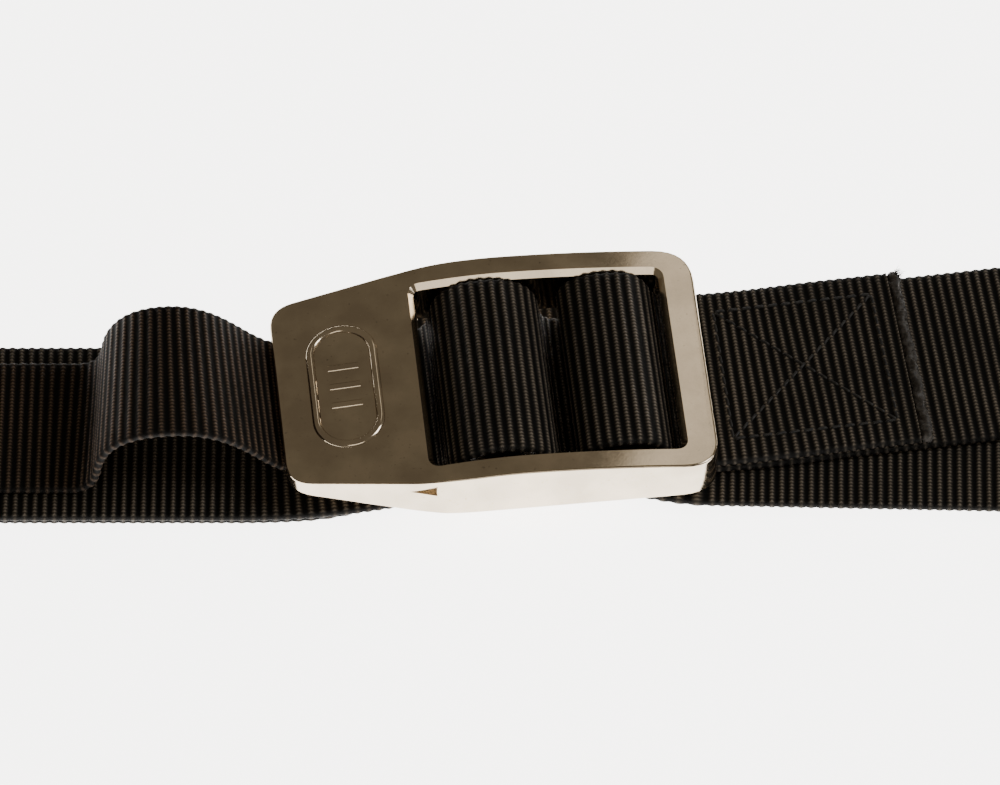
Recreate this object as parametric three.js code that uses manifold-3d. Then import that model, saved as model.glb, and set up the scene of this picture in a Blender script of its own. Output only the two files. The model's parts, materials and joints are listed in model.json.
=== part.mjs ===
// Dive weight belt: 50 mm webbing closed into a loop and laid flat, joined by a cast
// friction-lock buckle. Millimetres, +Z up, +X along the buckle, origin on the floor under
// the middle of the buckle.
import * as THREE from "three";
import Module from "manifold-3d";
import { mergeVertices } from "three/addons/utils/BufferGeometryUtils.js";

const wasm = await Module();
wasm.setup();

// ---- Driving dimensions ----
const web = { width: 50, thick: 2.2 }; // main webbing
const tether = { width: 38, thick: 1.8 }; // narrow strap from belt to grip plate
const layGap = 0.3; // between plies that lie on each other, and between touching pieces
const beltHalf = 212; // half the length of the flattened loop, about 850 mm round
const turnInner = 6; // inner radius of the loose turn at each end of the loop
const turnRun = 30; // length over which a turn comes back down onto the belt
const tailReach = 165; // free end of the belt, measured from the origin
const sewnReach = 98; // raw end of the ply that is folded back and sewn

const gripLength = 34.5; // solid plate of the buckle
const windowLength = 58.5;
const railLength = 8.4; // end rail beyond the window
const gripEndWidth = 52; // narrow end of the plate
const cheek = 6.5; // wall at each side of the window
const windowSide = 1; // room at each side of the webbing in the window
const ridgeHeight = 14; // casting depth, from cheek foot to ridge
const footLift = 1.8; // cheek foot above the strap that runs underneath
const cornerLeft = 5;
const cornerRight = 8;
const windowCorner = 2;

const bar = { width: 15, height: 9, inset: 3 }; // flat-oval slats that carry the webbing
const camBarAt = 16.55; // from the window's left edge
const pivotBarAt = 12.4; // from the window's right edge
const loopRise = 4.2; // crest of a webbing loop's middle line above its bar
const camLoopHalf = 11.75; // half the span of the loose loop over the cam bar
const tetherBar = { radius: 2, inset: 3, fromWindow: 4.4 };
const humpTop = 22.2; // slack hump of the tether above its flat run
const fit = 0.3; // running room round each bar in its socket

// ---- Derived levels and places ----
const zRear = web.thick / 2;
const zMain = zRear + web.thick + layGap;
const zLower = zMain + web.thick + layGap;
const zUpper = zLower + web.thick + layGap;
const zTether = zMain + web.thick / 2 + layGap + tether.thick / 2;

const buckleLength = gripLength + windowLength + railLength;
const xEnd = -buckleLength / 2; // grip end of the plate
const xWindow = xEnd + gripLength;
const xRail = xWindow + windowLength;
const xTip = xRail + railLength;
const windowHalf = web.width / 2 + windowSide;
const buckleHalf = windowHalf + cheek;

const zFoot = zMain + web.thick / 2 + footLift; // underside of the cheeks
const zRidge = zFoot + ridgeHeight;
const zBar = zLower + web.thick / 2 + layGap + 0.2 + bar.height / 2;
const xCam = xWindow + camBarAt;
const xPivot = xRail - pivotBarAt;
const zCrest = zBar + bar.height / 2 + loopRise;
const railFoot = zUpper + web.thick / 2 + 2.1; // underside of the end rail

const xFlex = xTip + 0.9; // line where the sewn plies bend when the grip is lifted
const flexGap = 1.1; // each side of that line
const xSplit = xEnd + 20.5; // where the strap under the plate leaves the belt for the loop
const xTail = xCam + camLoopHalf + 7.6; // where the free tail begins
const loopOffset = -0.5; // webbing sits a little towards the near cheek

// ---- Materials ----
const finish = (color, roughness, metalness) =>
  new THREE.MeshStandardMaterial({ color, roughness, metalness });
const webbing = finish(0x1a1815, 0.9, 0);
const tetherWeb = finish(0x29231e, 0.9, 0);
const steel = finish(0x9a8c7a, 0.25, 1);
const thread = finish(0x14120f, 0.8, 0);
const meltedNylon = finish(0x3a332b, 0.7, 0);

// ---- Solids ----
function solidFrom(geometry) {
  const plain = geometry.clone();
  plain.deleteAttribute("normal");
  plain.deleteAttribute("uv");
  const merged = mergeVertices(plain, 1e-4);
  return new wasm.Manifold(
    new wasm.Mesh({
      numProp: 3,
      vertProperties: merged.attributes.position.array,
      triVerts: new Uint32Array(merged.index.array),
    }),
  );
}

function geometryFrom(solid) {
  const mesh = solid.getMesh();
  return new THREE.BufferGeometry()
    .setAttribute("position", new THREE.BufferAttribute(mesh.vertProperties, 3))
    .setIndex(new THREE.BufferAttribute(mesh.triVerts, 1));
}

const belt = new THREE.Group();

function add(name, geometry, material) {
  const mesh = new THREE.Mesh(geometry, material);
  mesh.name = name;
  belt.add(mesh);
}

// An outline in plan, raised from low to high.
function prismUp(shape, low, high) {
  const geometry = new THREE.ExtrudeGeometry(shape, {
    depth: high - low,
    bevelEnabled: false,
    curveSegments: 6,
  });
  return solidFrom(geometry.translate(0, 0, low));
}

// A side outline in X and Z, drawn out to half each side of the middle.
function prismAcross(shape, half) {
  const geometry = new THREE.ExtrudeGeometry(shape, {
    depth: 2 * half,
    bevelEnabled: false,
    curveSegments: 8,
  });
  return solidFrom(geometry.rotateX(Math.PI / 2).translate(0, half, 0));
}

const outline = (points) =>
  new THREE.Shape(points.map(([x, y]) => new THREE.Vector2(x, y)));

// A rounded polygon: each corner is [x, y, radius].
function roundedOutline(corners) {
  const shape = new THREE.Shape();
  corners.forEach(([x, y, radius], i) => {
    const here = new THREE.Vector2(x, y);
    const towards = (corner) =>
      new THREE.Vector2(corner[0], corner[1]).sub(here).setLength(radius).add(here);
    const before = towards(corners.at(i - 1));
    const after = towards(corners[(i + 1) % corners.length]);
    if (i) shape.lineTo(before.x, before.y);
    else shape.moveTo(before.x, before.y);
    shape.quadraticCurveTo(x, y, after.x, after.y);
  });
  shape.closePath();
  return shape;
}

// ---- Plan of the straps: sideways place and heading against X ----
const slope = (degrees) => Math.tan(THREE.MathUtils.degToRad(degrees));
const step = THREE.MathUtils.smoothstep;
const mix = THREE.MathUtils.lerp;

const leftLine = (x) => -2.3 + slope(-6) * (x + 50); // belt before the buckle
const rightLine = (x) => loopOffset + slope(2) * (x - xFlex); // belt after it
const tailLine = (x) => -9.4 + slope(-7.4) * (x - 58); // free tail under the belt

function beltPlan(x) {
  const left = mix(leftLine(x), loopOffset, step(x, xEnd - 10, xWindow));
  return mix(left, rightLine(x), step(x, xTip, xFlex + 30));
}
// The rear half bows aside under the window, so that it closes the gap beside the upper straps.
const rearAside = 1.2;
const rearBow = 4.8;
function rearPlan(x) {
  const bow = step(x, xWindow - 29, xWindow + 1) * (1 - step(x, xRail - 18, xRail + 9));
  return beltPlan(x) + rearAside + rearBow * bow;
}
const tailPlan = (x) => mix(loopOffset, tailLine(x), step(x, xTail + 3, xTip));
const tetherPlan = (x) => mix(leftLine(x), 0.2, step(x, -105, xEnd));

// A strap: a flat box bent along a route in X and Z, and steered sideways by its plan.
function strap(route, width, thick, plan, longest = 8) {
  const points = [];
  route.forEach((point, i) => {
    const last = route[i - 1];
    if (last) {
      const pieces = Math.ceil(point.distanceTo(last) / longest);
      for (let k = 1; k < pieces; k++) points.push(last.clone().lerp(point, k / pieces));
    }
    points.push(point);
  });
  const steps = points.length - 1;
  const box = new THREE.BoxGeometry(1, width, thick, steps, 1, 1);
  const spot = box.attributes.position;
  for (let i = 0; i < spot.count; i++) {
    const at = Math.round((spot.getX(i) + 0.5) * steps);
    const here = points[at];
    const ahead = points[Math.min(at + 1, steps)];
    const behind = points[Math.max(at - 1, 0)];
    const run = ahead.clone().sub(behind).normalize();
    const heading = Math.atan((plan(here.x + 1) - plan(here.x - 1)) / 2);
    const side = spot.getY(i);
    const up = spot.getZ(i);
    const x = here.x - run.y * up;
    spot.setXYZ(
      i,
      x - side * Math.sin(heading),
      plan(x) + side * Math.cos(heading),
      here.y + run.x * up,
    );
  }
  box.deleteAttribute("normal");
  box.deleteAttribute("uv");
  return geometryFrom(solidFrom(facingOut(box)));
}

// A route that runs towards -X turns the box inside out, so its faces are turned back.
function facingOut(geometry) {
  if (solidFrom(geometry).volume() < 0) {
    const order = geometry.index.array;
    for (let i = 0; i < order.length; i += 3) {
      [order[i + 1], order[i + 2]] = [order[i + 2], order[i + 1]];
    }
  }
  return geometry;
}

const flat = (from, to, z) => [new THREE.Vector2(from, z), new THREE.Vector2(to, z)];

// ---- Main webbing ----
const turnMid = turnInner + web.thick / 2;
const xTurn = beltHalf - turnMid - web.thick / 2; // centre of each turn
const turnFlat = 8; // flat stretch of a turn before it lifts

function turnRoute(side, zBack) {
  const route = new THREE.Path();
  const x = (value) => side * value;
  route.moveTo(x(xTurn - turnFlat), zRear);
  route.lineTo(x(xTurn), zRear);
  const from = -Math.PI / 2;
  const to = side > 0 ? Math.PI / 2 : -1.5 * Math.PI;
  route.absarc(x(xTurn), zRear + turnMid, turnMid, from, to, side < 0);
  const top = zRear + 2 * turnMid;
  route.bezierCurveTo(
    x(xTurn - 0.33 * turnRun),
    top,
    x(xTurn - 0.46 * turnRun),
    zBack,
    x(xTurn - turnRun),
    zBack,
  );
  return route.getPoints(10);
}

function camRoute() {
  const left = xCam - camLoopHalf;
  const right = xCam + camLoopHalf;
  const waist = zBar - 1;
  const route = new THREE.Path();
  route.moveTo(xSplit, zMain);
  route.lineTo(left - 8, zMain);
  route.bezierCurveTo(left - 2.2, zMain, left - 0.4, zMain + 2.4, left, waist);
  route.bezierCurveTo(left + 0.5, waist + 6.5, xCam - 7, zCrest, xCam, zCrest);
  route.bezierCurveTo(xCam + 7, zCrest, right - 0.5, waist + 6.5, right, waist);
  route.bezierCurveTo(right + 0.4, zMain + 2.9, right + 1.4, zMain, xTail - 0.8, zMain);
  route.lineTo(xTail, zMain);
  return route.getPoints(8);
}

function pivotRoute() {
  const left = xPivot - bar.width / 2 - 3.4;
  const right = xPivot + bar.width / 2 + 1.1;
  const route = new THREE.Path();
  route.moveTo(xFlex - flexGap, zLower);
  route.lineTo(xPivot - 2.5, zLower);
  route.bezierCurveTo(left + 2.9, zLower, left, zLower + 2.4, left, zBar + 0.6);
  route.bezierCurveTo(left, zBar + 5.6, left + 3.9, zCrest, xPivot - 0.5, zCrest);
  route.bezierCurveTo(xPivot + 5, zCrest, right - 1.6, zBar + 6, right, zBar + 2.4);
  route.bezierCurveTo(right + 1.5, zUpper + 2.6, right + 2.7, zUpper, xRail + 3.1, zUpper);
  route.lineTo(xFlex - flexGap, zUpper);
  return route.getPoints(8);
}

const beltStrap = (name, route, plan) =>
  add(name, strap(route, web.width, web.thick, plan), webbing);

const xRearEnd = xTurn - turnFlat - layGap;
beltStrap("belt_rear", flat(-xRearEnd, xRearEnd, zRear), rearPlan);
beltStrap("belt_turn_left", turnRoute(-1, zMain), rearPlan);
beltStrap("belt_turn_right", turnRoute(1, zLower), rearPlan);
beltStrap("belt_left", flat(-xTurn + turnRun + layGap, xSplit - layGap, zMain), beltPlan);
beltStrap("cam_loop", camRoute(), beltPlan);
beltStrap("belt_tail", flat(xTail + layGap, tailReach, zMain), tailPlan);
beltStrap("pivot_loop", pivotRoute(), beltPlan);
beltStrap("belt_right", flat(xFlex + flexGap, xTurn - turnRun - layGap, zLower), beltPlan);
beltStrap("sewn_end", flat(xFlex + flexGap, sewnReach, zUpper), beltPlan);

// Cut ends are melted into a bead, a little fatter than the webbing.
const bead = { length: 1.9, extra: 0.5 };
function sealedEnd(name, x, z, plan, extra) {
  const route = flat(x + layGap, x + layGap + bead.length, z);
  add(name, strap(route, web.width + bead.extra, web.thick + extra, plan), meltedNylon);
}
sealedEnd("sewn_end_seal", sewnReach, zUpper + bead.extra / 2, beltPlan, bead.extra);
sealedEnd("tail_end_seal", tailReach, zMain, tailPlan, 0.2);

// ---- Tether ----
const xTetherBar = xWindow - tetherBar.fromWindow;
const zTetherBar = zMain + web.thick / 2 + 6; // clears the strap below its loop
const tetherLoop = tetherBar.radius + fit + tether.thick / 2;
const xTetherEnd = -150;
const xHumpFoot = xEnd - 49.3;
const xHumpCrest = xEnd - 25.3;
const zPlateIn = zFoot + 5.5; // middle of the tether where it goes under the plate

function humpRoute() {
  const top = zTether + humpTop;
  const route = new THREE.Path();
  route.moveTo(xTetherEnd, zTether);
  route.lineTo(xHumpFoot, zTether);
  route.bezierCurveTo(
    xHumpFoot + 5,
    zTether,
    xHumpFoot + 7,
    zTether + 2.6,
    xHumpFoot + 7.8,
    zTether + 8.1,
  );
  route.bezierCurveTo(
    xHumpFoot + 8.8,
    zTether + 15.6,
    xHumpCrest - 10.5,
    top,
    xHumpCrest,
    top,
  );
  route.bezierCurveTo(
    xHumpCrest + 9.5,
    top,
    xHumpCrest + 15,
    top - 6.6,
    xHumpCrest + 19.5,
    top - 11.6,
  );
  route.bezierCurveTo(
    xHumpCrest + 21.4,
    top - 13.7,
    xEnd - 2.6,
    zPlateIn + 1.2,
    xEnd - 1.2,
    zPlateIn,
  );
  return route.getPoints(8);
}

function tetherLoopRoute() {
  const route = new THREE.Path();
  const ply = tether.thick + layGap;
  const x = xTetherBar;
  const z = zTetherBar;
  route.moveTo(xEnd - 0.7, zPlateIn - 0.4);
  route.bezierCurveTo(xEnd + 1.4, zPlateIn - 1.3, xEnd + 4, zPlateIn - 1.2, xEnd + 7, z + 0.3);
  route.lineTo(xEnd + 21, z + 1.4);
  route.bezierCurveTo(x - 6, z + 1.9, x - 4, z + tetherLoop, x, z + tetherLoop);
  route.absarc(x, z, tetherLoop, Math.PI / 2, -Math.PI / 2, true);
  route.bezierCurveTo(x - 4, z - tetherLoop, x - 6, z - 1.4, xEnd + 21, z + 1.4 - ply);
  route.lineTo(xEnd + 6, z + 0.25 - ply);
  return route.getPoints(8);
}

const tetherStrap = (name, route, plan) =>
  add(name, strap(route, tether.width, tether.thick, plan), tetherWeb);
tetherStrap("tether_strap", humpRoute(), tetherPlan);
tetherStrap("tether_loop", tetherLoopRoute(), () => 0.2);

// ---- Stitching: a sewn box with a cross in it, as one raised line of thread ----
const stitchLine = 0.9;
function boxStitch(length, width) {
  const x = length / 2;
  const y = width / 2;
  const frame = outline([
    [-x, -y],
    [x, -y],
    [x, y],
    [-x, y],
  ]);
  const a = x - stitchLine;
  const b = y - stitchLine;
  const hole = [
    [-a, -b],
    [-a, b],
    [a, b],
    [a, -b],
  ];
  frame.holes.push(new THREE.Path(hole.map(([u, v]) => new THREE.Vector2(u, v))));
  const cross = (lean) =>
    outline([
      [-x + 0.1, -lean * y + lean * 0.1],
      [-x + 0.1 + stitchLine, -lean * y + lean * 0.1],
      [x - 0.1, lean * y - lean * 0.1],
      [x - 0.1 - stitchLine, lean * y - lean * 0.1],
    ]);
  const height = 0.4;
  return [cross(1), cross(-1)]
    .map((line) => prismUp(line, 0, height))
    .reduce((all, line) => all.add(line), prismUp(frame, 0, height));
}

function sewnBox(name, length, width, x, z, plan, lean = 0) {
  const heading = Math.atan((plan(x + 1) - plan(x - 1)) / 2);
  const geometry = geometryFrom(boxStitch(length, width));
  geometry.rotateY(-lean).rotateZ(heading).translate(x, plan(x), z);
  add(name, geometry, thread);
}

const stitchInset = 6; // from each edge of the webbing
const zSewnTop = zUpper + web.thick / 2 + layGap;
const sewnFrom = xFlex + 3.4;
const sewnTo = sewnReach - 4.5;
const sewnMid = (sewnFrom + sewnTo) / 2;
sewnBox(
  "box_stitch",
  sewnTo - sewnFrom,
  web.width - 2 * stitchInset,
  sewnMid,
  zSewnTop,
  beltPlan,
);
sewnBox(
  "tether_stitch",
  24,
  tether.width - 8,
  xTetherEnd + 15,
  zTether + tether.thick / 2 + layGap,
  tetherPlan,
);
const loopStitchLean = Math.atan2(1.1, 14);
sewnBox(
  "tether_loop_stitch",
  9,
  tether.width - 8,
  xEnd + 12,
  zTetherBar + 0.7 + tether.thick / 2 + layGap,
  () => 0.2,
  loopStitchLean,
);

// ---- Buckle casting ----
const xShoulder = xWindow + 2; // where the plate reaches full width
const endHalf = gripEndWidth / 2;
const endCheek = 4.5;
const zEndTop = zRidge - 5; // plate at its grip end
const zTipTop = zRidge - 4; // end rail at its outer edge
const xRidge = xWindow + 20;
const lipFoot = zFoot + 6.6; // underside of the plate at the grip end
const plateFoot = zFoot + 8.9; // underside of the plate at the window

function castingBlank() {
  const plan = roundedOutline([
    [xEnd, -endHalf, cornerLeft],
    [xShoulder, -buckleHalf, 6],
    [xTip, -buckleHalf, cornerRight],
    [xTip, buckleHalf, cornerRight],
    [xShoulder, buckleHalf, 6],
    [xEnd, endHalf, cornerLeft],
  ]);
  const side = new THREE.Shape();
  side.moveTo(xEnd - 1, lipFoot - 1.2);
  side.lineTo(xShoulder, zFoot);
  side.lineTo(xTip + 1, zFoot);
  side.lineTo(xTip + 1, zTipTop);
  side.quadraticCurveTo(xRidge + 18, zRidge - 0.6, xRidge, zRidge);
  side.quadraticCurveTo(xWindow + 4, zRidge - 0.6, xWindow, zRidge - 1.7);
  side.lineTo(xEnd - 1, zEndTop);
  side.closePath();
  const blank = prismUp(plan, 0, zRidge + 5);
  return blank.intersect(prismAcross(side, buckleHalf + 5));
}

function slatOutline(x, room) {
  const half = bar.width / 2 + room;
  const radius = bar.height / 2 + room;
  const shape = new THREE.Shape();
  shape.moveTo(x - half + radius, zBar - radius);
  shape.absarc(x + half - radius, zBar, radius, -Math.PI / 2, Math.PI / 2, false);
  shape.absarc(x - half + radius, zBar, radius, Math.PI / 2, 1.5 * Math.PI, false);
  return shape;
}

function pinOutline(room) {
  const shape = new THREE.Shape();
  shape.absarc(xTetherBar, zTetherBar, tetherBar.radius + room, 0, 2 * Math.PI, false);
  return shape;
}

// Inner half width of the hollow under the plate at x.
const hollowHalf = (x) =>
  mix(endHalf - endCheek, windowHalf, (x - xEnd) / (xWindow - xEnd));

// Thumb grip sunk in the plate: one ring with three short bars in it.
function thumbGrip() {
  const middle = xEnd + 16;
  const ring = { length: 30, width: 17, line: 1.2, depth: 0.7 };
  const lozenge = (grow) => {
    const x = ring.width / 2 + grow;
    const y = ring.length / 2 + grow;
    return roundedOutline([
      [middle - x, -y, x * 0.98],
      [middle + x, -y, x * 0.98],
      [middle + x, y, x * 0.98],
      [middle - x, y, x * 0.98],
    ]);
  };
  const groove = prismUp(lozenge(0), 0, 60).subtract(prismUp(lozenge(-ring.line), -1, 61));
  const bars = [-1, 0, 1].map((k) => {
    const y = 6 * k;
    const half = 0.6;
    const reach = 4.5;
    return prismUp(
      roundedOutline([
        [middle - reach, y - half, half * 0.9],
        [middle + reach, y - half, half * 0.9],
        [middle + reach, y + half, half * 0.9],
        [middle - reach, y + half, half * 0.9],
      ]),
      0,
      60,
    );
  });
  const pattern = bars.reduce((all, piece) => all.add(piece), groove);
  const below = outline([
    [xEnd - 2, 0],
    [xWindow + 2, 0],
    [xWindow, zRidge - 1.7 - ring.depth],
    [xEnd - 1, zEndTop - ring.depth],
  ]);
  return pattern.subtract(prismAcross(below, buckleHalf + 5));
}

function casting() {
  const window = roundedOutline([
    [xWindow, -windowHalf, windowCorner],
    [xRail, -windowHalf, windowCorner],
    [xRail, windowHalf, windowCorner],
    [xWindow, windowHalf, windowCorner],
  ]);
  const hollowPlan = outline([
    [xEnd - 2, -hollowHalf(xEnd - 2)],
    [xWindow + 1, -windowHalf],
    [xWindow + 1, windowHalf],
    [xEnd - 2, hollowHalf(xEnd - 2)],
  ]);
  const hollowSide = outline([
    [xEnd - 3, 0],
    [xWindow + 2, 0],
    [xWindow + 2, plateFoot],
    [xWindow, plateFoot],
    [xEnd - 3, lipFoot],
  ]);
  const hollow = prismUp(hollowPlan, 0, 60).intersect(prismAcross(hollowSide, buckleHalf));
  const railWay = prismAcross(
    outline([
      [xRail - 1, 0],
      [xTip + 2, 0],
      [xTip + 2, railFoot],
      [xRail - 1, railFoot],
    ]),
    windowHalf,
  );
  const pinReach = hollowHalf(xTetherBar) + tetherBar.inset;
  return [
    prismUp(window, 0, 60),
    hollow,
    railWay,
    prismAcross(slatOutline(xCam, fit), windowHalf + bar.inset),
    prismAcross(slatOutline(xPivot, fit), windowHalf + bar.inset),
    prismAcross(pinOutline(fit), pinReach),
    thumbGrip(),
  ].reduce((body, cut) => body.subtract(cut), castingBlank());
}

add("buckle_casting", geometryFrom(casting()), steel);
for (const [name, x] of [
  ["cam_bar", xCam],
  ["pivot_bar", xPivot],
]) {
  const slat = prismAcross(slatOutline(x, 0), windowHalf + bar.inset - fit);
  add(name, geometryFrom(slat), steel);
}
const pinHalf = hollowHalf(xTetherBar) + tetherBar.inset - fit;
add("tether_bar", geometryFrom(prismAcross(pinOutline(0), pinHalf)), steel);

export default belt;
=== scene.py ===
import json
import math
import random

import bmesh
import bpy
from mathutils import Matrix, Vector, noise


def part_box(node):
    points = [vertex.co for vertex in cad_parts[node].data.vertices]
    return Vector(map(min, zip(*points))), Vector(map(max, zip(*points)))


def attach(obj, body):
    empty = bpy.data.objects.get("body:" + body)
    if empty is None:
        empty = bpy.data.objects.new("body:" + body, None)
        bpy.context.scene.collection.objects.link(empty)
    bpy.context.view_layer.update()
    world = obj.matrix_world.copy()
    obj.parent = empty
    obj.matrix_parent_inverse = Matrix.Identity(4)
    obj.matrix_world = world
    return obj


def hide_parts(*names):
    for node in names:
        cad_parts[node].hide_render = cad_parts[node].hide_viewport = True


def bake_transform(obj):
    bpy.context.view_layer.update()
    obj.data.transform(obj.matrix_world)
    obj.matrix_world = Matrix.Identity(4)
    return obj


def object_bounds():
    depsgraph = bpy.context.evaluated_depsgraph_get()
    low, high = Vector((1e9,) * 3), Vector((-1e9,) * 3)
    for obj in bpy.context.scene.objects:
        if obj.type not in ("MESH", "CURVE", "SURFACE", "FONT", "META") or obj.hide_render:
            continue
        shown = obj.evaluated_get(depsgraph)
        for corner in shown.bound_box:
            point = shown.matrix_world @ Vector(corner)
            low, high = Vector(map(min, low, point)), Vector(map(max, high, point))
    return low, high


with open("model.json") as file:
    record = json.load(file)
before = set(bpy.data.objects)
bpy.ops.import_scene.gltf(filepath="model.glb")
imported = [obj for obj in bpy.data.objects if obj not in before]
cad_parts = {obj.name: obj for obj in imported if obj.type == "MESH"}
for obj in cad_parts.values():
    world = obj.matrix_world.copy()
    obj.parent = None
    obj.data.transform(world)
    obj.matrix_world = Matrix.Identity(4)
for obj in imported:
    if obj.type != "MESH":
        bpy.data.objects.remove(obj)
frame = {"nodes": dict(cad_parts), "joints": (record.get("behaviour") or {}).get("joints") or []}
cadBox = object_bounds()
mm = 0.001

weave = {
    "pitch": 2.3,  # spacing of the ribs, in mm
    "pick": 0.95,  # spacing of the threads on a rib, in mm
    "rib": 0.24 * mm,
    "scallop": 0.004,  # share by which a rib widens the strap
}
mainWeb = {"width": 50.8 * mm, "thick": 2.2 * mm, "edge": 4, "flat": 10}
narrowWeb = {"width": 38 * mm, "thick": 1.8 * mm, "edge": 4, "flat": 8}


def low(node):
    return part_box(node)[0]


def high(node):
    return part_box(node)[1]


def middle(node):
    a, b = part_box(node)
    return Vector([(p + q) / 2 for p, q in zip(a, b)])


# places read from the frame; the heights are those of each strap's middle
xEnd, xTip = low("buckle_casting")[0], high("buckle_casting")[0]
zFoot, zRidge = low("buckle_casting")[2], high("buckle_casting")[2]
buckleHalf = high("buckle_casting")[1]
xCam, zBar = middle("cam_bar")[0], middle("cam_bar")[2]
xPivot = middle("pivot_bar")[0]
zCrest = high("cam_loop")[2] - mainWeb["thick"] / 2
zRear = middle("belt_rear")[2]
zMain = middle("belt_left")[2]
zLower = middle("belt_right")[2]
zUpper = middle("sewn_end")[2]
zTether = low("tether_strap")[2] + narrowWeb["thick"] / 2
xTurnLeft, xTurnRight = low("belt_turn_left")[0], high("belt_turn_right")[0]
hinge = frame["joints"][0]["pos_m"]

buckle = {
    "grip": 34.5 * mm,  # solid plate
    "window": 58.5 * mm,
    "windowHalf": 26 * mm,
    "endHalf": 26 * mm,  # half width at the grip end
    "endCheek": 4.5 * mm,
}
xWindow = xEnd + buckle["grip"]
xRail = xWindow + buckle["window"]

# plan of the straps: each one's sideways place at x
loopOffset = -0.5 * mm  # in the window
tetherOffset = 0.2 * mm  # under the plate
rearHalf = {"aside": 1.2 * mm, "bow": 4.8 * mm}  # the bow lies under the window
planLines = {  # a place (x, y) on each straight stretch, and the degrees that it turns by
    "left": (-50 * mm, -2.3 * mm, -6),
    "right": (hinge[0], loopOffset, 2),
    "tail": (58 * mm, -9.4 * mm, -7.4),
}


def lineAt(name, x):
    xLine, yLine, degrees = planLines[name]
    return yLine + math.tan(math.radians(degrees)) * (x - xLine)


def ease(x, a, b):
    # 0 up to a, 1 from b on, and a smooth rise between them
    t = min(1, max(0, (x - a) / (b - a)))
    return t * t * (3 - 2 * t)


def mix(a, b, t):
    return a + (b - a) * t


def beltPlan(x):
    left = mix(lineAt("left", x), loopOffset, ease(x, xEnd - 10 * mm, xWindow))
    return mix(left, lineAt("right", x), ease(x, xTip, xTip + 31 * mm))


def rearPlan(x):
    bow = ease(x, xWindow - 29 * mm, xWindow + mm) * (1 - ease(x, xRail - 18 * mm, xRail + 9 * mm))
    return beltPlan(x) + rearHalf["aside"] + rearHalf["bow"] * bow


def tailPlan(x):
    return mix(loopOffset, lineAt("tail", x), ease(x, xCam + 19 * mm, xTip))


def tetherPlan(x):
    return mix(lineAt("left", x), tetherOffset, ease(x, -105 * mm, xEnd))


def heading(plan, x):
    # the angle between a strap's middle line and the x axis
    return math.atan((plan(x + mm) - plan(x - mm)) / (2 * mm))


def besideLine(plan, x, side):
    # a place beside a strap's middle line, at right angles to it
    angle = heading(plan, x)
    return x - side * math.sin(angle), plan(x) + side * math.cos(angle)


# routes are lists of (x, z) places
def bezier(a, b, c, d, count=24):
    spots = []
    for i in range(1, count + 1):
        t = i / count
        u = 1 - t
        weights = (u * u * u, 3 * u * u * t, 3 * u * t * t, t * t * t)
        spots.append(tuple(sum(w * p[k] for w, p in zip(weights, (a, b, c, d))) for k in (0, 1)))
    return spots


def arc(centre, radius, start, end, count=32):
    turn = [math.radians(mix(start, end, i / count)) for i in range(1, count + 1)]
    return [(centre[0] + radius * math.cos(t), centre[1] + radius * math.sin(t)) for t in turn]


def evenly(route, gap):
    # the same route again, in equal steps of about gap
    lengths = [0]
    for a, b in zip(route, route[1:]):
        lengths.append(lengths[-1] + math.dist(a, b))
    count = max(2, round(lengths[-1] / gap))
    spots, k = [], 0
    for i in range(count + 1):
        s = lengths[-1] * i / count
        while k < len(route) - 2 and lengths[k + 1] < s:
            k += 1
        t = (s - lengths[k]) / max(1e-9, lengths[k + 1] - lengths[k])
        spots.append((mix(route[k][0], route[k + 1][0], t), mix(route[k][1], route[k + 1][1], t)))
    return spots, lengths[-1]


def put(name, bm, look, smooth=True):
    mesh = bpy.data.meshes.new(name)
    bm.to_mesh(mesh)
    bm.free()
    piece = bpy.data.objects.new(name, mesh)
    bpy.context.scene.collection.objects.link(piece)
    mesh.materials.append(look)
    if smooth:
        mesh.shade_smooth()
    return piece


def closeUp(bm):
    # joins a rolled-up grid along its seam and fills its ends
    bmesh.ops.remove_doubles(bm, verts=bm.verts, dist=1e-7)
    bmesh.ops.holes_fill(bm, edges=[e for e in bm.edges if e.is_boundary], sides=0)
    bmesh.ops.recalc_face_normals(bm, faces=bm.faces)


# materials
def material(name, **sockets):
    made = bpy.data.materials.new(name)
    made.use_nodes = True
    shader = made.node_tree.nodes["Principled BSDF"]
    for socket, value in sockets.items():
        shader.inputs[socket.replace("_", " ")].default_value = value
    return made, made.node_tree.nodes, made.node_tree.links, shader


def ramp(nodes, links, source, stops):
    made = nodes.new("ShaderNodeValToRGB")
    links.new(source, made.inputs["Fac"])
    elements = made.color_ramp.elements
    while len(elements) < len(stops):
        elements.new(0.5)
    for element, (place, colour) in zip(elements, stops):
        element.position = place
        element.color = (*colour, 1)
    return made.outputs["Color"]


def mathNode(nodes, links, operation, *values):
    made = nodes.new("ShaderNodeMath")
    made.operation = operation
    for socket, value in zip(made.inputs, values):
        if isinstance(value, (int, float)):
            socket.default_value = value
        else:
            links.new(value, socket)
    return made.outputs[0]


def noiseNode(nodes, links, vector, scale, detail=2):
    made = nodes.new("ShaderNodeTexNoise")
    made.inputs["Scale"].default_value = scale
    made.inputs["Detail"].default_value = detail
    links.new(vector, made.inputs["Vector"])
    return made.outputs["Fac"]


def bumpNode(nodes, links, height, strength, distance, under=None):
    made = nodes.new("ShaderNodeBump")
    made.inputs["Strength"].default_value = strength
    made.inputs["Distance"].default_value = distance
    links.new(height, made.inputs["Height"])
    if under is not None:
        links.new(under, made.inputs["Normal"])
    return made.outputs["Normal"]


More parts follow.
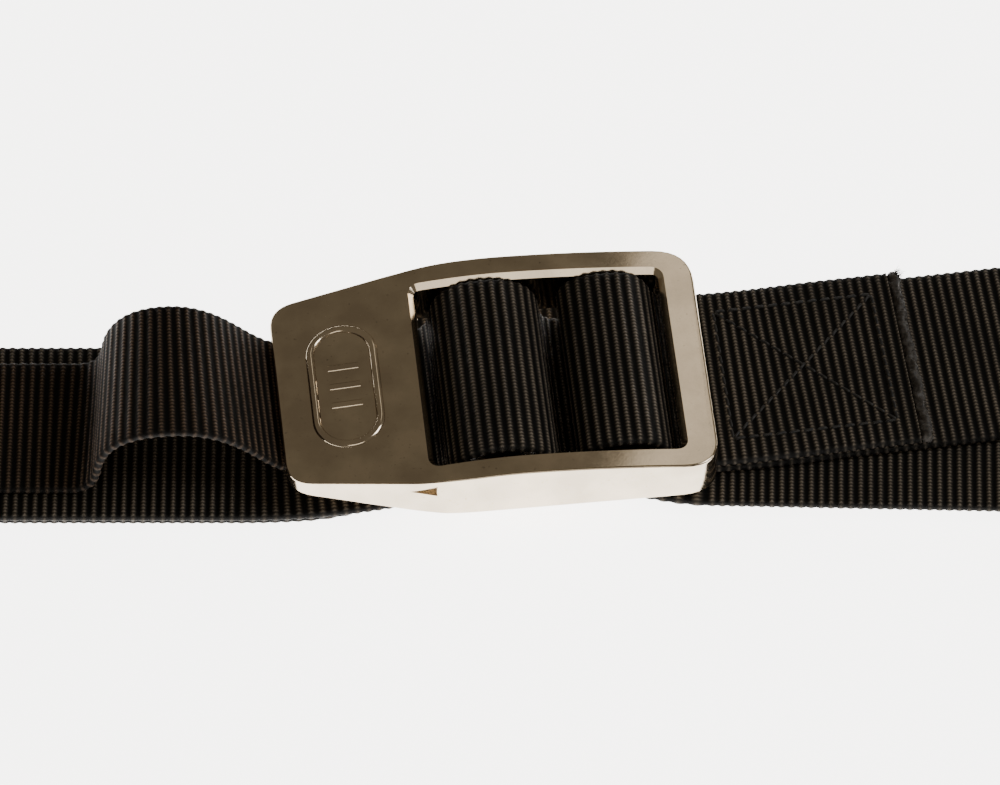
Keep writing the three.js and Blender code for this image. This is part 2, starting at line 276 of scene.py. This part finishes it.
def webbingMaterial(name, kind, dark, light, roughness):
    # the UV map runs along the strap in u and across it in v, in millimetres
    made, nodes, links, shader = material(name, Specular_IOR_Level=0.14)
    uv = nodes.new("ShaderNodeUVMap")
    uv.uv_map = "strap"
    split = nodes.new("ShaderNodeSeparateXYZ")
    links.new(uv.outputs["UV"], split.inputs[0])
    along, across = split.outputs[0], split.outputs[1]

    def worked(operation, *values):
        return mathNode(nodes, links, operation, *values)

    # the rib crowns are painted lighter and the grooves between them darker: a painted highlight on the
    # crowns and their threads, and painted shade in the grooves
    crown = worked("COSINE", worked("MULTIPLY", along, 2 * math.pi / weave["pitch"]))
    crown = worked("POWER", worked("MULTIPLY_ADD", crown, 0.5, 0.5), 2.4)
    # threads cross each rib on a slant, turning at each half rib
    slant = worked("MULTIPLY_ADD", worked("PINGPONG", along, weave["pitch"] / 2), 0.4, across)
    threads = worked("SINE", worked("MULTIPLY", slant, 2 * math.pi / weave["pick"]))
    cell = worked("MULTIPLY", crown, worked("MULTIPLY_ADD", threads, 0.35, 0.65))
    fuzz = noiseNode(nodes, links, uv.outputs["UV"], 1.1, 6)
    patches = noiseNode(nodes, links, nodes.new("ShaderNodeTexCoord").outputs["Object"], 55)
    tone = worked("MULTIPLY", cell, worked("ADD", fuzz, 0.45))
    tone = worked("MULTIPLY", tone, worked("ADD", patches, 0.5))
    # the colour is darker towards the selvedges
    fromEdge = worked("SUBTRACT", kind["width"] / 2 / mm, worked("ABSOLUTE", across))
    selvedge = worked("SMOOTH_MIN", worked("MULTIPLY_ADD", fromEdge, 0.4, 0.3), 1, 0.2)
    tone = worked("MULTIPLY", tone, selvedge)
    # the ramp paints the grooves dark and the crowns light, painted shade and painted highlight, over the
    # random tone of the fuzz and patches
    flank = [mix(d, q, 0.3) for d, q in zip(dark, light)]
    colour = ramp(nodes, links, tone, [(0.0, dark), (0.35, flank), (0.9, light)])
    links.new(colour, shader.inputs["Base Color"])
    links.new(worked("MULTIPLY_ADD", tone, -0.25, roughness), shader.inputs["Roughness"])
    relief = worked("MULTIPLY_ADD", fuzz, 0.35, cell)
    links.new(bumpNode(nodes, links, relief, 0.8, 0.25 * mm), shader.inputs["Normal"])
    return made


def steelMaterial(name, tint, roughness):
    # polished casting: slightly cloudy and wavy, with fine pitting
    made, nodes, links, shader = material(name, Metallic=1.0)
    place = nodes.new("ShaderNodeTexCoord").outputs["Object"]
    clouds = noiseNode(nodes, links, place, 90, 5)
    pits = noiseNode(nodes, links, place, 1100, 3)
    waves = noiseNode(nodes, links, place, 60)
    dull = [c * 0.78 for c in tint]
    worn = nodes.new("ShaderNodeVectorMath")
    worn.operation = "MULTIPLY"
    links.new(ramp(nodes, links, clouds, [(0.36, dull), (0.62, tint)]), worn.inputs[0])
    links.new(ramp(nodes, links, pits, [(0.22, (0.6, 0.6, 0.6)), (0.34, (1, 1, 1))]), worn.inputs[1])
    links.new(worn.outputs[0], shader.inputs["Base Color"])
    rough = mathNode(nodes, links, "MULTIPLY_ADD", clouds, 0.12, roughness - 0.06)
    rough = mathNode(nodes, links, "MULTIPLY_ADD", pits, 0.05, rough)
    links.new(rough, shader.inputs["Roughness"])
    fine = bumpNode(nodes, links, pits, 0.12, 0.05 * mm)
    links.new(bumpNode(nodes, links, waves, 0.12, 0.4 * mm, fine), shader.inputs["Normal"])
    return made


def threadMaterial(name, dark, light):
    made, nodes, links, shader = material(name, Sheen_Weight=0.1)
    twist = noiseNode(nodes, links, nodes.new("ShaderNodeTexCoord").outputs["Object"], 2200)
    links.new(ramp(nodes, links, twist, [(0.3, dark), (0.75, light)]), shader.inputs["Base Color"])
    links.new(mathNode(nodes, links, "MULTIPLY_ADD", twist, 0.3, 0.45), shader.inputs["Roughness"])
    links.new(bumpNode(nodes, links, twist, 0.6, 0.1 * mm), shader.inputs["Normal"])
    return made


# the second colour of each webbing is the painted highlight on its rib crowns; the first is the near-black
# of its grooves, where shade is painted
webbing = webbingMaterial("ribbedWebbing", mainWeb, (0.0003, 0.0002, 0.0001), (0.168, 0.14, 0.108), 0.75)
tetherWeb = webbingMaterial("tetherWebbing", narrowWeb, (0.0006, 0.0004, 0.0002), (0.12, 0.08, 0.053), 0.8)
steel = steelMaterial("polishedCasting", (0.62, 0.52, 0.39), 0.12)
barSteel = steelMaterial("plainBar", (0.5, 0.46, 0.41), 0.3)
thread = threadMaterial("bondedThread", (0.001, 0.0008, 0.0006), (0.014, 0.012, 0.01))
melted = threadMaterial("meltedNylon", (0.002, 0.0015, 0.001), (0.05, 0.04, 0.03))
print("materials made")


# webbing
def section(kind):
    # once round the strap's section, as (side, up), with rounded selvedges
    half, up, edge, flat = kind["width"] / 2, kind["thick"] / 2, kind["edge"], kind["flat"]
    inner = half - up
    turn = [math.pi * i / edge for i in range(1, edge)]
    top = [(mix(-inner, inner, i / flat), up) for i in range(flat + 1)]
    right = [(inner + up * math.sin(t), up * math.cos(t)) for t in turn]
    return top + right + [(-s, -u) for s, u in top] + [(-s, -u) for s, u in right]


def ribbon(name, kind, route, plan, look, perRib=6, start=0.0):
    # a strap along a route; start is the length of webbing before it, so that the ribs run on
    spots, length = evenly(route, weave["pitch"] * mm / perRib)
    around = section(kind)
    steps = len(spots) - 1
    bm = bmesh.new()
    bmesh.ops.create_grid(bm, x_segments=steps, y_segments=len(around), size=0.5)
    alongs = bm.verts.layers.float.new("along")
    sides = bm.verts.layers.float.new("side")
    for v in bm.verts:
        i = round((v.co.x + 0.5) * steps)
        side, up = around[round((v.co.y + 0.5) * len(around)) % len(around)]
        here, ahead, behind = spots[i], spots[min(i + 1, steps)], spots[max(i - 1, 0)]
        run = Vector((ahead[0] - behind[0], ahead[1] - behind[1])).normalized()
        s = start + length * i / steps
        crown = math.cos(2 * math.pi * s / (weave["pitch"] * mm))
        rise = up * (1 + weave["rib"] * crown / kind["thick"])
        wide = side * (1 + weave["scallop"] * crown)
        v.co = (*besideLine(plan, here[0] - run.y * rise, wide), here[1] + run.x * rise)
        v[alongs], v[sides] = s / mm, side / mm
    closeUp(bm)
    strap = bm.loops.layers.uv.new("strap")
    for face in bm.faces:
        for loop in face.loops:
            loop[strap].uv = (loop.vert[alongs], loop.vert[sides])
    piece = put(name, bm, look)
    piece["length"] = length
    return piece


beltTurn = {"radius": 7.1 * mm, "run": 30 * mm}  # where the belt folds over, and its slope after that
camLoop = {"half": 12 * mm, "foot": 7.5 * mm, "shoulder": 6.5 * mm, "crown": 7 * mm}
pivotLoop = {"right": 8.7 * mm, "left": 1 * mm, "lower": 1.2 * mm}  # lower than the cam loop's crest
outOfView = 135 * mm  # the belt is split into its pieces this far out on both sides


def turnRoute(side, zBack):
    # from the back strap round the turn and down onto zBack
    radius, run = beltTurn["radius"], beltTurn["run"]
    edge = xTurnRight if side > 0 else -xTurnLeft
    x = edge - radius - mainWeb["thick"] / 2
    top = zRear + 2 * radius
    route = arc((x, zRear + radius), radius, -90, 90)
    route += bezier((x, top), (x - 0.33 * run, top), (x - 0.46 * run, zBack), (x - run, zBack))
    return [(side * x, zRear)] + [(side * px, z) for px, z in route]


def rearRoute():
    right, left = turnRoute(1, zLower)[::-1], turnRoute(-1, zMain)
    return [(outOfView, zLower)] + right + left + [(-outOfView, zMain)]


def camRoute():
    left, right, waist = xCam - camLoop["half"], xCam + camLoop["half"], zBar - mm
    shoulder, crown = waist + camLoop["shoulder"], camLoop["crown"]
    route = [(-outOfView, zMain), (left - camLoop["foot"], zMain)]
    route += bezier(route[-1], (left - 2 * mm, zMain), (left - 0.4 * mm, zMain + 2.4 * mm), (left, waist))
    route += bezier(route[-1], (left + 0.5 * mm, shoulder), (xCam - crown, zCrest), (xCam, zCrest))
    route += bezier(route[-1], (xCam + crown, zCrest), (right - 0.5 * mm, shoulder), (right, waist))
    return route, (right, waist)


def tailRoute(foot):
    # down from the cam loop and out to the right, beneath the sewn end
    x = foot[0]
    route = bezier(foot, (x + 0.4 * mm, zMain + 2.9 * mm), (x + 1.4 * mm, zMain), (x + 7 * mm, zMain))
    return [foot] + route + [(high("belt_tail")[0] - 3 * mm, zMain)]


def sewnRoute():
    # from the raw end, round the pivot bar and back under, to the right
    top = zCrest - pivotLoop["lower"]
    left, right = low("pivot_loop")[0] + pivotLoop["left"], xPivot + pivotLoop["right"]
    route = [(high("sewn_end")[0] - 0.6 * mm, zUpper), (xRail + 3.1 * mm, zUpper)]
    route += bezier(route[-1], (right + 2.7 * mm, zUpper), (right + 1.5 * mm, zUpper + 2.6 * mm),
                    (right, zBar + 2.4 * mm))
    route += bezier(route[-1], (right - 1.6 * mm, zBar + 6 * mm), (xPivot + 5 * mm, top),
                    (xPivot - 0.5 * mm, top))
    route += bezier(route[-1], (left + 3.9 * mm, top), (left, zBar + 5.6 * mm), (left, zBar + 0.6 * mm))
    route += bezier(route[-1], (left, zLower + 2.4 * mm), (left + 2.9 * mm, zLower),
                    (xPivot - 2.5 * mm, zLower))
    return route + [(outOfView, zLower)]


def beltWebbing():
    sewn = ribbon("webbing_sewn_end", mainWeb, sewnRoute(), beltPlan, webbing)
    start = sewn["length"]
    rear = ribbon("webbing_rear_half", mainWeb, rearRoute(), rearPlan, webbing, 4, start)
    start += rear["length"]
    route, foot = camRoute()
    lead = ribbon("webbing_lead_in", mainWeb, route, beltPlan, webbing, 6, start)
    start += lead["length"]
    tail = ribbon("webbing_tail", mainWeb, tailRoute(foot), tailPlan, webbing, 6, start)
    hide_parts("pivot_loop", "sewn_end", "belt_right")
    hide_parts("belt_rear", "belt_turn_left", "belt_turn_right")
    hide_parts("belt_left", "cam_loop")
    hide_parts("belt_tail")
    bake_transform(sewn)
    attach(rear, "belt")
    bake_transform(lead)
    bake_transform(tail)
    for piece in (sewn, rear, lead, tail):
        print(piece.name, "is", round(piece["length"], 3), "m long")
    return sewn, rear, lead, tail


hump = {"foot": 49.3 * mm, "crest": 25.3 * mm}  # how far left of the casting they are
fold = {"plate": 5.5 * mm, "radius": 3.2 * mm, "near": 7 * mm, "far": 21 * mm}  # places under the plate


def humpRoute():
    # along the belt, over the slack hump and in under the plate
    z, plate = zTether, zFoot + fold["plate"]
    top = high("tether_strap")[2] - narrowWeb["thick"] / 2
    foot, crest = xEnd - hump["foot"], xEnd - hump["crest"]
    route = [(low("tether_strap")[0] + 1.5 * mm, z), (foot, z)]
    route += bezier(route[-1], (foot + 5 * mm, z), (foot + 7 * mm, z + 2.6 * mm),
                    (foot + 7.8 * mm, z + 8.1 * mm))
    route += bezier(route[-1], (foot + 8.8 * mm, z + 15.6 * mm), (crest - 10.5 * mm, top), (crest, top))
    route += bezier(route[-1], (crest + 9.5 * mm, top), (crest + 15 * mm, top - 6.6 * mm),
                    (crest + 19.5 * mm, top - 11.6 * mm))
    route += bezier(route[-1], (crest + 21.4 * mm, top - 13.7 * mm), (xEnd - 2.6 * mm, plate + 1.2 * mm),
                    (xEnd - 1.2 * mm, plate))
    return route


def foldRoute(entry):
    # on under the plate, round the tether bar and back
    x, level = middle("tether_bar")[0], middle("tether_bar")[2]
    plate, radius = zFoot + fold["plate"], fold["radius"]
    near, far = xEnd + fold["near"], xEnd + fold["far"]
    route = bezier(entry, (xEnd + 1.4 * mm, plate - 1.3 * mm), (xEnd + 4 * mm, plate - 1.2 * mm),
                   (near, level + 0.3 * mm))
    route += [(far, level + 1.4 * mm)]
    route += bezier(route[-1], (x - 6 * mm, level + 1.9 * mm), (x - 4 * mm, level + radius),
                    (x, level + radius))
    route += arc((x, level), radius, 90, -90)
    route += bezier(route[-1], (x - 4 * mm, level - radius), (x - 6 * mm, level - 1.4 * mm),
                    (far, level - 0.7 * mm))
    return route + [(near, level - 1.8 * mm)]


def tetherWebbing():
    route = humpRoute()
    route += foldRoute(route[-1])
    strap = ribbon("webbing_tether", narrowWeb, route, tetherPlan, tetherWeb)
    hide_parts("tether_strap", "tether_loop")
    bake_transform(strap)
    print(strap.name, "is", round(strap["length"], 3), "m long")
    return strap


straps = beltWebbing()
tether = tetherWebbing()
print("webbing made")


# buckle casting
def roundedPlan(corners, count=8):
    # a polygon whose corners (x, y, radius) are rounded
    spots = []
    for i, (x, y, radius) in enumerate(corners):
        here = Vector((x, y))
        before = here + (Vector(corners[i - 1][:2]) - here).normalized() * radius
        after = here + (Vector(corners[(i + 1) % len(corners)][:2]) - here).normalized() * radius
        for k in range(count + 1):
            t = k / count
            spots.append(before * (1 - t) ** 2 + here * 2 * t * (1 - t) + after * t * t)
    return spots


def prism(name, spots, place, reach):
    # an outline drawn out along a vector
    bm = bmesh.new()
    face = bm.faces.new([bm.verts.new(place(s)) for s in spots])
    made = bmesh.ops.extrude_face_region(bm, geom=[face])
    bmesh.ops.translate(bm, vec=reach, verts=[v for v in made["geom"] if isinstance(v, bmesh.types.BMVert)])
    bmesh.ops.recalc_face_normals(bm, faces=bm.faces)
    return put(name, bm, steel, smooth=False)


def upright(name, spots, bottom=0, top=60 * mm):
    return prism(name, spots, lambda s: (s[0], s[1], bottom), (0, 0, top - bottom))


def across(name, spots, half):
    return prism(name, spots, lambda s: (s[0], -half, s[1]), (0, 2 * half, 0))


def applyModifiers(piece):
    bpy.context.view_layer.update()
    shaped = piece.evaluated_get(bpy.context.evaluated_depsgraph_get())
    mesh = bpy.data.meshes.new_from_object(shaped)
    piece.modifiers.clear()
    piece.data = mesh


def cut(body, tool, operation="DIFFERENCE"):
    boolean = body.modifiers.new(operation.lower(), "BOOLEAN")
    boolean.operation = operation
    boolean.solver = "EXACT"
    boolean.object = tool
    applyModifiers(body)
    bpy.data.objects.remove(tool)


casting = {
    "cornerGrip": 6 * mm,
    "cornerCheek": 9 * mm,
    "cornerTip": 9 * mm,
    "cornerWindow": 1.8 * mm,
    "cheekAt": 2 * mm,  # full width starts here, from the window's left edge
    "ridgeAt": 20 * mm,  # highest place, from the window's left edge
    "gripFoot": 5.4 * mm,  # the grip end's underside, above the foot of the skirts
    "gripDrop": 5 * mm,  # the grip end's top, below the ridge
    "tipDrop": 4 * mm,
    "roofGrip": 6.6 * mm,  # roof of the hollow, above the foot of the skirts
    "roofWindow": 8.9 * mm,
    "railOver": 2.1 * mm,  # underside of the end rail, above the sewn end
    "edge": 0.6 * mm,  # rounding of every edge
    "facet": 1.3 * mm,  # wide bevel round the window
    "facetLowest": 6.5 * mm,  # an edge further below the ridge has no facet
    "roundFrom": 52,  # degrees between faces; the facets meet their flats at less
    "sharpFrom": 32,  # degrees between faces, for the shading
}


def castingBlank():
    end, tip, cheek = casting["cornerGrip"], casting["cornerTip"], casting["cornerCheek"]
    xCheek, xRidge = xWindow + casting["cheekAt"], xWindow + casting["ridgeAt"]
    plan = roundedPlan([
        (xEnd, -buckle["endHalf"], end), (xCheek, -buckleHalf, cheek), (xTip, -buckleHalf, tip),
        (xTip, buckleHalf, tip), (xCheek, buckleHalf, cheek), (xEnd, buckle["endHalf"], end),
    ])
    side = [(xEnd - mm, zFoot + casting["gripFoot"]), (xCheek, zFoot), (xTip + mm, zFoot),
            (xTip + mm, zRidge - casting["tipDrop"])]
    side += bezier(side[-1], (xTip - 12 * mm, zRidge - 2 * mm), (xRidge + 18 * mm, zRidge - 0.2 * mm),
                   (xRidge, zRidge), 16)
    side += bezier(side[-1], (xRidge - 9 * mm, zRidge), (xWindow + 2 * mm, zRidge - 1.2 * mm),
                   (xWindow - 3 * mm, zRidge - 2 * mm), 10)
    side += [(xEnd - mm, zRidge - casting["gripDrop"])]
    blank = upright("buckle_body", plan)
    cut(blank, across("sideOutline", side, buckleHalf + 5 * mm), "INTERSECT")
    return blank


def cutOuts(body):
    # the window, the hollow under the plate and the way out for the straps under the end rail
    half, corner = buckle["windowHalf"], casting["cornerWindow"]
    window = [(xWindow, -half), (xRail, -half), (xRail, half), (xWindow, half)]
    cut(body, upright("window", roundedPlan([(x, y, corner) for x, y in window])))
    end, xOut = buckle["endHalf"] - buckle["endCheek"], xEnd - 2 * mm
    hollow = upright("hollow", [(xOut, -end), (xWindow + mm, -half), (xWindow + mm, half), (xOut, end)])
    roof = zFoot + casting["roofWindow"]
    under = [(xEnd - 3 * mm, 0), (xWindow + 2 * mm, 0), (xWindow + 2 * mm, roof), (xWindow, roof),
             (xEnd - 3 * mm, zFoot + casting["roofGrip"])]
    cut(hollow, across("hollowSide", under, half + mm), "INTERSECT")
    cut(body, hollow)
    rail = high("sewn_end")[2] + casting["railOver"]
    way = [(xRail - mm, 0), (xTip + 2 * mm, 0), (xTip + 2 * mm, rail), (xRail - mm, rail)]
    cut(body, across("railWay", way, half))


def sharpEdges(bm, degrees):
    return [e for e in bm.edges if len(e.link_faces) == 2 and e.calc_face_angle() > math.radians(degrees)]


def isFacetEdge(edge):
    # the top edges round the window, which carry a wide flat bevel
    spot = (edge.verts[0].co + edge.verts[1].co) / 2
    onTop = max(f.normal.z for f in edge.link_faces) > 0.9 and spot.z > zRidge - casting["facetLowest"]
    return onTop and xWindow - mm < spot.x < xRail + mm and abs(spot.y) < buckle["windowHalf"] + mm


def bevelEdges(bm, edges, offset, segments):
    bmesh.ops.bevel(bm, geom=edges, offset=offset, offset_type="OFFSET", affect="EDGES", segments=segments,
                    profile=0.5, material=-1, clamp_overlap=False)


def roundEdges(body):
    bm = bmesh.new()
    bm.from_mesh(body.data)
    bmesh.ops.remove_doubles(bm, verts=bm.verts, dist=1e-6)
    bmesh.ops.dissolve_limit(bm, angle_limit=math.radians(0.1), verts=bm.verts, edges=bm.edges)
    bevelEdges(bm, [e for e in sharpEdges(bm, 40) if isFacetEdge(e)], casting["facet"], 1)
    bevelEdges(bm, sharpEdges(bm, casting["roundFrom"]), casting["edge"], 3)
    bm.to_mesh(body.data)
    bm.free()


thumb = {
    "at": 16 * mm,  # its middle, from the grip end
    "half": 7.5 * mm,
    "straight": 9.5 * mm,  # half length of the ring's straight sides
    "barHalf": 3.6 * mm,
    "barGap": 5.5 * mm,
    "bead": 1.15 * mm,  # radius of the raised lines
    "sunk": 0.45 * mm,
}


def beadAlong(name, spots, cyclic):
    curve = bpy.data.curves.new(name, "CURVE")
    curve.dimensions = "3D"
    curve.bevel_depth = thumb["bead"]
    curve.bevel_resolution = 7
    curve.use_fill_caps = not cyclic
    line = curve.splines.new("POLY")
    line.points.add(len(spots) - 1)
    for point, spot in zip(line.points, spots):
        point.co = (*spot, 1)
    line.use_cyclic_u = cyclic
    tool = bpy.data.objects.new(name, curve)
    bpy.context.scene.collection.objects.link(tool)
    bpy.context.view_layer.update()
    mesh = bpy.data.meshes.new_from_object(tool.evaluated_get(bpy.context.evaluated_depsgraph_get()))
    bpy.data.objects.remove(tool)
    solid = bpy.data.objects.new(name, mesh)
    bpy.context.scene.collection.objects.link(solid)
    return solid


def thumbGrip(body):
    # a raised ring with three short raised bars in it, all on the curve of the plate
    centre, half = xEnd + thumb["at"], thumb["half"]

    def onPlate(x, y):
        spot, normal = body.ray_cast((x, y, zRidge + 10 * mm), (0, 0, -1))[1:3]
        return spot - normal * thumb["sunk"]

    bpy.context.view_layer.update()
    turn = [math.pi * i / 32 for i in range(33)]
    ring = [(centre + half * math.cos(t), thumb["straight"] + half * math.sin(t)) for t in turn]
    ring += [(2 * centre - x, -y) for x, y in ring]
    beads = [beadAlong("ringBead", [onPlate(*spot) for spot in ring], True)]
    for k in (-1, 0, 1):
        bar = [(centre + thumb["barHalf"] * i / 4, thumb["barGap"] * k) for i in range(-4, 5)]
        beads.append(beadAlong("barBead", [onPlate(*spot) for spot in bar], False))
    for solid in beads:
        cut(body, solid, "UNION")


def makeCasting():
    body = castingBlank()
    cutOuts(body)
    roundEdges(body)
    thumbGrip(body)
    body.data.materials.clear()
    body.data.materials.append(steel)
    for face in body.data.polygons:
        face.material_index = 0
    body.data.shade_smooth()
    body.data.set_sharp_from_angle(angle=math.radians(casting["sharpFrom"]))
    flats = body.modifiers.new("flats", "WEIGHTED_NORMAL")  # keeps the flats flat beside the rounded edges
    flats.weight = 100
    flats.keep_sharp = True
    applyModifiers(body)
    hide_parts("buckle_casting")
    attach(body, "buckle")
    print("casting made,", len(body.data.polygons), "faces")


makeCasting()
for node in ("cam_bar", "pivot_bar", "tether_bar"):
    bar = frame["nodes"][node].data
    bar.materials.clear()
    bar.materials.append(barSteel)
    bar.shade_smooth()
    bar.set_sharp_from_angle(angle=math.radians(40))
print("bars finished")


# stitching
stitch = {
    "length": 2.6 * mm,
    "gap": 0.7 * mm,
    "thread": 0.36 * mm,
    "slant": 0.25 * mm,
    "rise": 0.5 * mm,
    "sunk": 0.2 * mm,
}


def stitchRun(bm, a, b, height):
    # short threads from a to b, each one dipping into the webbing at its ends
    a, b = Vector(a), Vector(b)
    count = max(1, round((b - a).length / (stitch["length"] + stitch["gap"])))
    ahead = (b - a) / count
    side = Vector((-ahead.y, ahead.x)).normalized()
    for i in range(count):
        made = bmesh.ops.create_grid(bm, x_segments=8, y_segments=8, size=0.5)
        for v in made["verts"]:
            t, turn = v.co.x + 0.5, 2 * math.pi * (v.co.y + 0.5)
            arch = math.sin(math.pi * t)
            girth = stitch["thread"] * (0.55 + 0.45 * min(1, arch * 2.2))
            lean = (t - 0.5) * stitch["slant"]
            spot = a + ahead * (i + 0.1 + 0.8 * t) + side * (girth * math.cos(turn) + lean)
            lift = stitch["rise"] * min(0.6, arch) - stitch["sunk"]
            v.co = (spot.x, spot.y, height(spot) + girth * math.sin(turn) + lift)


def boxStitch(name, x0, x1, half, plan, height, node, body):
    # a rectangle of stitches with its two diagonals
    bm = bmesh.new()
    corners = [besideLine(plan, x, side) for x, side in ((x0, -half), (x1, -half), (x1, half), (x0, half))]
    for a, b in zip(corners, corners[1:] + corners[:1]):
        stitchRun(bm, a, b, height)
    stitchRun(bm, corners[0], corners[2], height)
    stitchRun(bm, corners[1], corners[3], height)
    closeUp(bm)
    piece = put(name, bm, thread)
    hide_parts(node)
    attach(piece, body)


boxHalf = {"sewn": 19 * mm, "base": 15 * mm, "fold": 14 * mm}  # half width of each box of stitches
baseStart, baseEnd = -147 * mm, -123 * mm
foldStart, foldEnd = low("tether_loop_stitch"), high("tether_loop_stitch")
foldLength = foldEnd[0] - foldStart[0]
sewnTop = zUpper + mainWeb["thick"] / 2
boxStitch("sewn_box_stitches", low("box_stitch")[0] + mm, high("box_stitch")[0] - mm, boxHalf["sewn"],
          beltPlan, lambda s: sewnTop, "box_stitch", "belt")
boxStitch("tether_base_stitches", baseStart, baseEnd, boxHalf["base"], tetherPlan,
          lambda s: zTether + narrowWeb["thick"] / 2, "tether_stitch", "belt")
boxStitch("tether_fold_stitches", foldStart[0] + 0.5 * mm, foldEnd[0] - 0.5 * mm, boxHalf["fold"],
          lambda x: tetherOffset,
          lambda s: mix(foldStart[2], foldEnd[2], (s.x - foldStart[0]) / foldLength) - 0.35 * mm,
          "tether_loop_stitch", "buckle")
print("stitches made")


# melted ends
melt = {
    "over": 0.2 * mm,  # past the strap on each side
    "ahead": 1.3 * mm,
    "up": 0.66,  # share of the strap's thickness
    "drift": 0.6 * mm,  # how far the cut wanders
}
fibre = {
    "count": 420,
    "root": 0.07 * mm,
    "tip": 0.03 * mm,
    "shortest": 0.4,  # lengths in mm
    "longest": 1.5,
    "tuftLongest": 2.6,
    "tuftWidth": 3 * mm,
    "tuftShare": 0.16,
}


def meltedBead(bm, kind, half, x, z, plan, lumps):
    slant = math.sin(heading(plan, x))
    bmesh.ops.create_grid(bm, x_segments=150, y_segments=20, size=0.5)
    for v in bm.verts:
        t, turn = v.co.x + 0.5, 2 * math.pi * (v.co.y + 0.5)
        side = mix(-half, half, t)
        grain = Vector((side * 700, math.cos(turn) * 1.2, math.sin(turn) * 1.2))
        swell = 1 + lumps * noise.noise(grain) + 0.5 * lumps * noise.noise(grain * 2.7)
        swell *= min(1, (1 - abs(2 * t - 1)) * 25) ** 0.5  # closes the bead at its two ends
        drift = melt["drift"] * noise.noise(Vector((side * 160, 3, 1)))
        ahead = drift + melt["ahead"] * swell * math.cos(turn)
        up = kind["thick"] * melt["up"] * swell * math.sin(turn)
        px, py = besideLine(plan, x, side)
        v.co = (px + ahead, py + ahead * slant, z + up)


def looseFibres(bm, half, x, z, plan, tuft):
    # they stand out of the edge; a tuft is more and longer ones at one corner
    corner = half - fibre["tuftWidth"]
    for k in range(fibre["count"]):
        side = random.uniform(-half, half)
        if tuft and random.random() < fibre["tuftShare"]:
            side = random.uniform(corner, half)
        longest = fibre["tuftLongest"] if tuft and side >= corner else fibre["longest"]
        reach = random.uniform(fibre["shortest"], longest) * mm
        lift = random.uniform(-0.2, 1.0)
        px, py = besideLine(plan, x, side)
        root = Vector((px + 0.6 * mm, py, z + random.uniform(-0.6, 1.0) * mm))
        way = Vector((random.uniform(0.1, 1), random.uniform(-0.6, 0.6), lift)).normalized()
        bend = Vector((random.uniform(-0.4, 0.4), random.uniform(-0.4, 0.4), random.uniform(-0.5, 0.3)))
        made = bmesh.ops.create_cone(bm, segments=4, radius1=fibre["root"], radius2=fibre["tip"], depth=1,
                                     cap_ends=True)
        facing = way.to_track_quat("Z", "Y")
        for v in made["verts"]:
            t = v.co.z + 0.5
            around = facing @ Vector((v.co.x, v.co.y, 0))
            v.co = root + around + way * reach * t + bend * reach * 0.4 * t * t


def meltedEnd(name, kind, x, z, plan, node, lumps, tuft):
    random.seed(7)
    bm = bmesh.new()
    half = kind["width"] / 2 + melt["over"]
    meltedBead(bm, kind, half, x, z, plan, lumps)
    looseFibres(bm, half, x, z, plan, tuft)
    closeUp(bm)
    piece = put(name, bm, melted)
    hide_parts(node)
    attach(piece, "belt")


meltedEnd("sealed_sewn_end", mainWeb, low("sewn_end_seal")[0] + 2.4 * mm, zUpper + 0.2 * mm, beltPlan,
          "sewn_end_seal", 0.5, True)
meltedEnd("sealed_tail_end", mainWeb, middle("tail_end_seal")[0], zMain, tailPlan,
          "tail_end_seal", 0.12, False)
print("ends made")


# stage, lights and camera
studio = {
    "floor": (0.93, 0.93, 0.93, 1),
    "floorGlow": (1, 0.985, 0.96, 1),
    "floorStrength": 5.5,
    "world": (0.62, 0.54, 0.415, 1),
    "worldStrength": 0.29,
}


def panel(name, size, place, aim, strength, colour=(1, 1, 1)):
    light = bpy.data.lights.new(name, "AREA")
    light.shape = "RECTANGLE"
    light.size, light.size_y = size
    light.energy = strength
    light.color = colour
    lamp = bpy.data.objects.new(name, light)
    lamp.location = place
    lamp.rotation_euler = (Vector(aim) - Vector(place)).to_track_quat("-Z", "Y").to_euler()
    bpy.context.scene.collection.objects.link(lamp)


def makeStage():
    bm = bmesh.new()
    bmesh.ops.create_grid(bm, x_segments=1, y_segments=1, size=6)
    look = material("paleFloor", Base_Color=studio["floor"], Roughness=0.9,
                    Emission_Color=studio["floorGlow"], Emission_Strength=studio["floorStrength"])[0]
    floor = put("floor", bm, look, smooth=False)
    floor.location.z = cadBox[0][2] - 0.05 * mm
    world = bpy.data.worlds.new("studio")
    bpy.context.scene.world = world
    world.use_nodes = True
    background = world.node_tree.nodes["Background"]
    background.inputs["Color"].default_value = studio["world"]
    background.inputs["Strength"].default_value = studio["worldStrength"]


view = {
    "elevation": 52.5,
    "turn": 6.0,  # the buckle lies turned against the view by this much
    "distance": 1.948,
    "lens": 295,
    "target": (2.7 * mm, 7.3 * mm, 0),
}


def makeCamera():
    tilt, turned = math.radians(view["elevation"]), math.radians(view["turn"])
    back = Vector((-math.cos(tilt) * math.sin(turned), -math.cos(tilt) * math.cos(turned), math.sin(tilt)))
    lens = bpy.data.cameras.new("camera")
    lens.lens = view["lens"]
    lens.sensor_width = 36
    lens.clip_end = 50
    camera = bpy.data.objects.new("camera", lens)
    camera.location = Vector(view["target"]) + back * view["distance"]
    camera.rotation_euler = (-back).to_track_quat("-Z", "Y").to_euler()
    bpy.context.scene.collection.objects.link(camera)
    bpy.context.scene.camera = camera


makeStage()
makeCamera()
panel("railLight", (0.15, 0.5), (0.40, 0.72, 0.88), (0.045, 0, 0), 0.26, (1, 0.94, 0.84))
panel("sideLight", (0.5, 0.5), (0.9, -0.1, 0.8), (0, 0, 0), 6)
panel("frontLight", (0.8, 0.3), (0.08, -1.0, 0.78), (0, 0, 0), 1.6, (1, 0.95, 0.86))
print("stage made")
